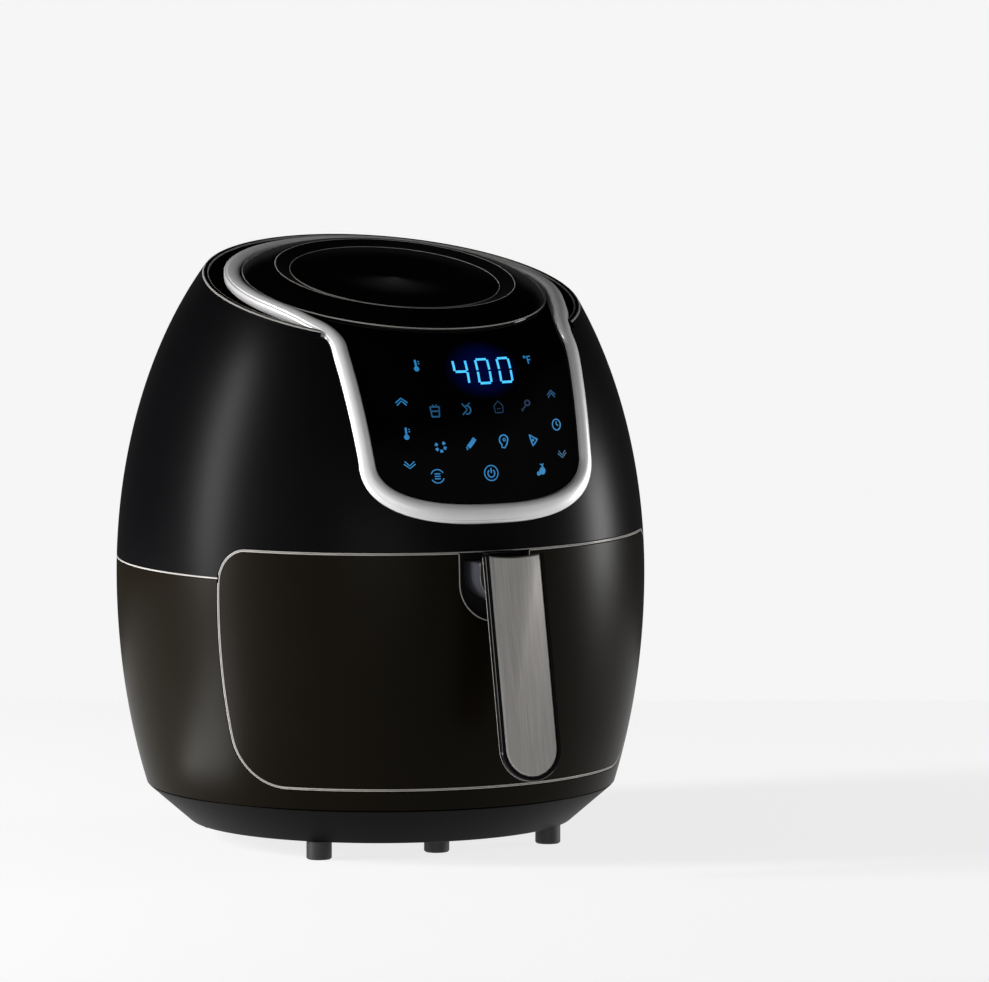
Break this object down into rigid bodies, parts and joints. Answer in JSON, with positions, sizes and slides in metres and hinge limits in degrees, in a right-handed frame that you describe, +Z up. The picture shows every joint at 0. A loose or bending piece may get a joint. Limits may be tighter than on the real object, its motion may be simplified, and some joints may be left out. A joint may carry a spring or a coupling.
{
  "type": "air fryer",
  "caption": "Countertop air fryer: rounded black housing, leaning lid with silver trim, touch panel, and a slide-out drawer with perforated basket and hanging handle.",
  "frame": {"origin": "middle of the whole outline (housing and handle together) at the level of the feet's undersides", "axes": "+Z up, -Y towards the front with the touch panel and handle, +X to the right as seen by someone who faces the front"},
  "size_m": [0.29, 0.3368, 0.3278],
  "materials": {
    "satin_black_shell": "satin moulded ABS",
    "satin_black_lower": "satin moulded ABS, warm black",
    "matt_black_base": "matt moulded ABS",
    "gloss_black": "polished black",
    "silver_trim": "satin silver",
    "brushed_plate": "brushed along its length",
    "plated_steel": "plated sheet steel",
    "heater_sheath": "oxidised steel tube",
    "non_stick": "non-stick coating",
    "rubber_feet": "moulded rubber",
    "circuit_board": "solder resist",
    "dark_component": "moulded component",
    "smoked_guard": "smoked clear plastic"
  },
  "bodies": {
    "housing": {"upper_shell": "satin_black_shell", "lower_shell": "satin_black_lower", "base_pan": "matt_black_base", "intake_grille": "matt_black_base", "cover_carrier": "matt_black_base", "exhaust_grille": "matt_black_base", "cord_gland": "matt_black_base", "drawer_bay": "matt_black_base", "top_cover": "gloss_black", "lid_disc": "gloss_black", "panel_lens": "gloss_black", "trim_band": "silver_trim", "chamber_liner": "plated_steel", "exhaust_duct": "plated_steel", "heater_guard": "plated_steel", "motor_bracket": "plated_steel", "fan_motor": "plated_steel", "thermal_cutout": "plated_steel", "drawer_rail_left": "plated_steel", "drawer_rail_right": "plated_steel", "base_screw_1": "plated_steel", "base_screw_2": "plated_steel", "base_screw_3": "plated_steel", "base_screw_4": "plated_steel", "heating_element": "heater_sheath", "foot_front_left": "rubber_feet", "foot_front_right": "rubber_feet", "foot_front_centre": "rubber_feet", "foot_rear_left": "rubber_feet", "foot_rear_right": "rubber_feet", "control_board": "circuit_board", "power_board": "circuit_board", "display_module": "dark_component", "buzzer": "dark_component", "power_relay": "dark_component", "drawer_switch": "dark_component"},
    "fan_rotor": {"motor_shaft": "plated_steel", "convection_fan": "plated_steel", "cooling_fan": "plated_steel", "fan_nut": "plated_steel"},
    "drawer": {"drawer_pan": "non_stick", "drawer_front": "satin_black_lower", "handle_recess": "matt_black_base", "front_backing": "matt_black_base", "basket": "non_stick", "basket_bracket": "plated_steel", "handle_arm": "matt_black_base", "handle_grip": "gloss_black", "handle_plate": "brushed_plate", "button_spring": "plated_steel"},
    "release_button": {"release_button": "gloss_black"},
    "button_guard": {"button_guard": "smoked_guard"}
  },
  "joints": [
    {"name": "drawer_slide", "type": "slide", "parent": "housing", "child": "drawer", "axis": [0, -1, 0], "range_m": [0, 0.235]},
    {"name": "fan_spin", "type": "hinge", "parent": "housing", "child": "fan_rotor", "pos_m": [0, 0.02344, 0.192], "axis": [0, 0, 1], "continuous": true},
    {"name": "release_button_press", "type": "slide", "parent": "drawer", "child": "release_button", "axis": [0, 0, -1], "range_m": [0, 0.003], "stiffness_N_per_m": 500, "deforming": ["button_spring"]},
    {"name": "button_guard_slide", "type": "slide", "parent": "drawer", "child": "button_guard", "axis": [0, -1, 0], "range_m": [0, 0.009]}
  ]
}
